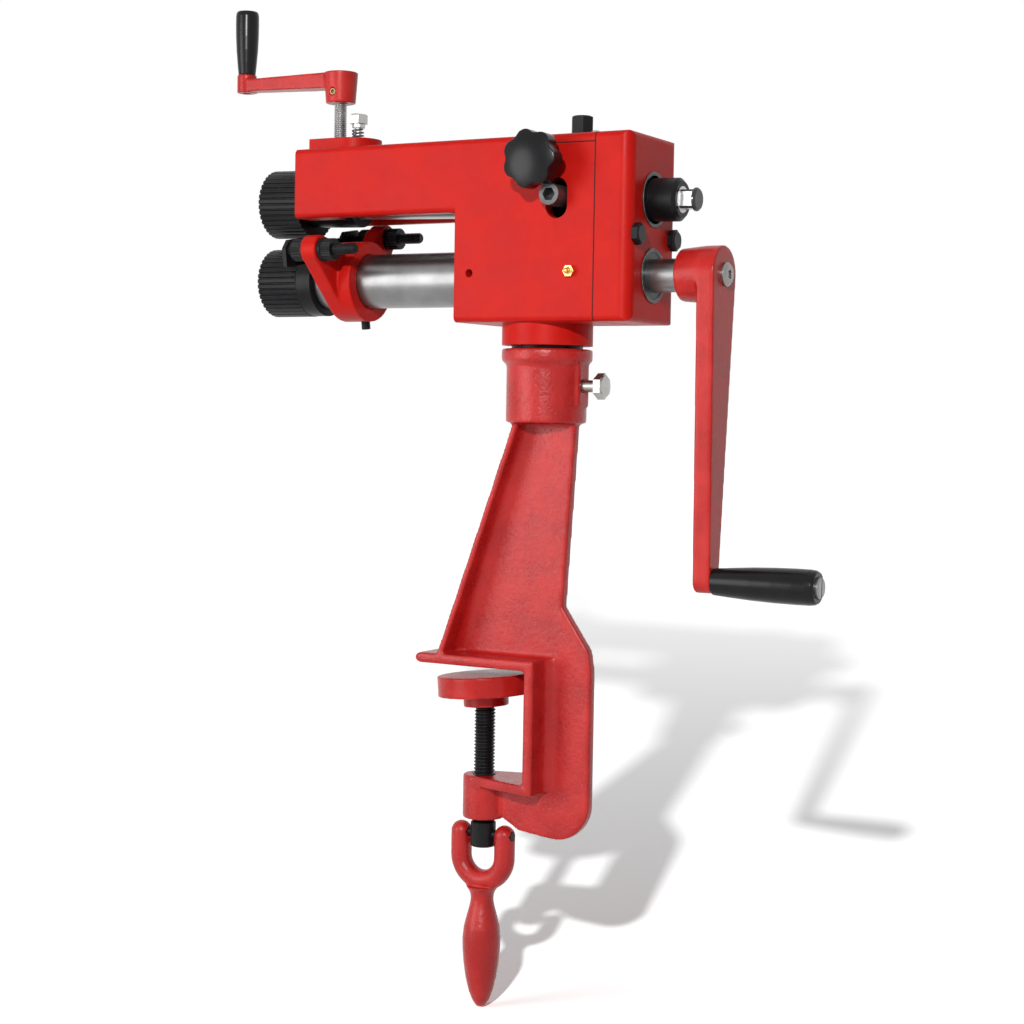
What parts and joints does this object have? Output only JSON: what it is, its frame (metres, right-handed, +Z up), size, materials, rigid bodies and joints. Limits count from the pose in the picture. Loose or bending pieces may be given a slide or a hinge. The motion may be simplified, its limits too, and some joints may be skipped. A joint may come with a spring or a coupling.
{
  "type": "bead roller",
  "caption": "Hand cranked bench bead roller: clamp stand, turning head, geared toothed rollers, press screw with crank, sheet fence and drive crank.",
  "frame": {"origin": "on the underside of the upper jaw, where it rests on the bench, straight above the clamp screw axis", "axes": "+Z up from the bench, +X along the shafts from the rollers towards the drive crank, -Y towards the side with the lock knob and the long slot"},
  "size_m": [0.5918, 0.141, 0.8971],
  "materials": {
    "red": "gloss paint",
    "red_cover": "gloss paint",
    "black": "black oxide",
    "steel": "turned steel",
    "zinc": "zinc plated",
    "bronze": "bearing bronze",
    "brass": "plain brass",
    "plastic": "moulded"
  },
  "bodies": {
    "stand": {"stand_casting": "red", "thrust_ring": "black"},
    "socket_lock": {"socket_bolt": "zinc"},
    "clamp_travel": {"thrust_ball": "steel"},
    "clamp_turn": {"clamp_screw": "black", "fork_pin": "black"},
    "fork": {"fork_handle": "red"},
    "pad": {"clamp_pad": "red"},
    "head": {"head_casting": "red", "chamber_lid": "red_cover", "lid_screw": "black", "rear_cover": "red", "cover_bolts": "black", "support_tube": "steel", "front_bush": "bronze", "middle_bush": "bronze", "lower_rear_bush": "black", "upper_rear_ring": "black", "pivot_pins": "steel", "side_nipple": "brass", "top_nipple": "zinc", "lift_spring": "steel"},
    "lower_drive": {"lower_shaft": "steel", "lower_gear": "steel", "lower_roller": "black", "lower_roller_screw": "black", "drive_crank": "red", "drive_crank_screw": "steel", "drive_grip_pin": "steel"},
    "drive_handle": {"drive_grip": "plastic"},
    "rocker": {"front_block": "black", "rocking_ring": "steel", "lift_bolt": "zinc"},
    "sleeve": {"adjusting_sleeve": "black", "sleeve_pin": "black"},
    "upper_drive": {"upper_shaft": "steel", "upper_gear": "steel", "upper_roller": "black", "upper_roller_screw": "black", "rear_collar": "black"},
    "press_foot": {"thrust_button": "steel"},
    "press_turn": {"press_screw": "steel", "top_crank": "red", "top_grip_pin": "steel"},
    "press_handle": {"top_grip": "plastic"},
    "knob": {"lock_knob": "plastic", "lock_stud": "steel"},
    "bracket": {"fence_bracket": "red", "bracket_set_screw": "black"},
    "fence": {"fence_plate": "black", "fence_studs": "black"},
    "nut_near_front": {"near_front_nut": "black"},
    "nut_near_rear": {"near_rear_nut": "black"},
    "nut_far_front": {"far_front_nut": "black"},
    "nut_far_rear": {"far_rear_nut": "black"}
  },
  "joints": [
    {"name": "socket_bolt_turn", "type": "hinge", "parent": "stand", "child": "socket_lock", "pos_m": [0.106, 0, 0.244], "axis": [1, 0, 0], "range_deg": [-90, 0]},
    {"name": "clamp_slide", "type": "slide", "parent": "stand", "child": "clamp_travel", "axis": [0, 0, 1], "range_m": [-0.0571, 0.0014]},
    {"name": "clamp_screw_turn", "type": "hinge", "parent": "clamp_travel", "child": "clamp_turn", "pos_m": [0, 0, -0.0224], "axis": [0, 0, 1], "range_deg": [-6840, 160]},
    {"name": "fork_swing", "type": "hinge", "parent": "clamp_turn", "child": "fork", "pos_m": [0, 0, -0.15175], "axis": [1, 0, 0], "range_deg": [-75, 75]},
    {"name": "pad_swivel", "type": "hinge", "parent": "clamp_travel", "child": "pad", "pos_m": [0, 0, -0.0224], "axis": [0, 1, 0], "range_deg": [-1, 6]},
    {"name": "head_swing", "type": "hinge", "parent": "stand", "child": "head", "pos_m": [0.056, 0, 0.278], "axis": [0, 0, 1], "continuous": true},
    {"name": "lower_shaft_spin", "type": "hinge", "parent": "head", "child": "lower_drive", "pos_m": [0.056, 0, 0.3365], "axis": [1, 0, 0], "continuous": true},
    {"name": "drive_grip_spin", "type": "hinge", "parent": "lower_drive", "child": "drive_handle", "pos_m": [0.22, -0.0088, 0.08465], "axis": [1, 0, 0], "continuous": true},
    {"name": "rocker_tilt", "type": "hinge", "parent": "head", "child": "rocker", "pos_m": [0.112, 0, 0.4005], "axis": [0, -1, 0], "range_deg": [0, 1.5]},
    {"name": "sleeve_turn", "type": "hinge", "parent": "rocker", "child": "sleeve", "pos_m": [0.112, 0, 0.4005], "axis": [0.9997, 0, -0.0244], "range_deg": [-6, 9]},
    {"name": "upper_shaft_spin", "type": "hinge", "parent": "rocker", "child": "upper_drive", "pos_m": [0.112, 0, 0.4005], "axis": [0.9997, 0, -0.0244], "continuous": true},
    {"name": "press_foot_slide", "type": "slide", "parent": "head", "child": "press_foot", "axis": [0, 0, -1], "range_m": [0, 0.00716], "deforming": ["lift_spring"]},
    {"name": "press_screw_turn", "type": "hinge", "parent": "press_foot", "child": "press_turn", "pos_m": [-0.1616, 0, 0.46], "axis": [0, 0, -1], "range_deg": [0, 1473.4]},
    {"name": "top_grip_spin", "type": "hinge", "parent": "press_turn", "child": "press_handle", "pos_m": [-0.2676, 0, 0.55], "axis": [0, 0, 1], "continuous": true},
    {"name": "knob_turn", "type": "hinge", "parent": "head", "child": "knob", "pos_m": [0.076, 0, 0.429], "axis": [0, 1, 0], "range_deg": [-60, 0]},
    {"name": "bracket_slide", "type": "slide", "parent": "head", "child": "bracket", "axis": [1, 0, 0], "range_m": [-0.005, 0.085]},
    {"name": "fence_slide", "type": "slide", "parent": "bracket", "child": "fence", "axis": [1, 0, 0], "range_m": [-0.004, 0.004]},
    {"name": "near_front_nut_turn", "type": "hinge", "parent": "bracket", "child": "nut_near_front", "pos_m": [-0.154, -0.05887, 0.36112], "axis": [1, 0, 0], "range_deg": [-960, 960]},
    {"name": "near_rear_nut_turn", "type": "hinge", "parent": "bracket", "child": "nut_near_rear", "pos_m": [-0.154, -0.05887, 0.36112], "axis": [1, 0, 0], "range_deg": [-960, 960]},
    {"name": "far_front_nut_turn", "type": "hinge", "parent": "bracket", "child": "nut_far_front", "pos_m": [-0.154, 0.04765, 0.37895], "axis": [1, 0, 0], "range_deg": [-960, 960]},
    {"name": "far_rear_nut_turn", "type": "hinge", "parent": "bracket", "child": "nut_far_rear", "pos_m": [-0.154, 0.04765, 0.37895], "axis": [1, 0, 0], "range_deg": [-960, 960]}
  ],
  "couplings": [
    {"joint": "upper_shaft_spin", "follows": "lower_shaft_spin", "ratio": -1},
    {"joint": "clamp_slide", "follows": "clamp_screw_turn", "m_per_rad": 0.00047746},
    {"joint": "press_foot_slide", "follows": "press_screw_turn", "m_per_rad": 0.00027851},
    {"joint": "rocker_tilt", "follows": "press_screw_turn", "ratio": 0.001018},
    {"joint": "near_front_nut_turn", "follows": "fence_slide", "rad_per_m": -4188.7},
    {"joint": "near_rear_nut_turn", "follows": "fence_slide", "rad_per_m": -4188.7},
    {"joint": "far_front_nut_turn", "follows": "fence_slide", "rad_per_m": -4188.7},
    {"joint": "far_rear_nut_turn", "follows": "fence_slide", "rad_per_m": -4188.7}
  ]
}
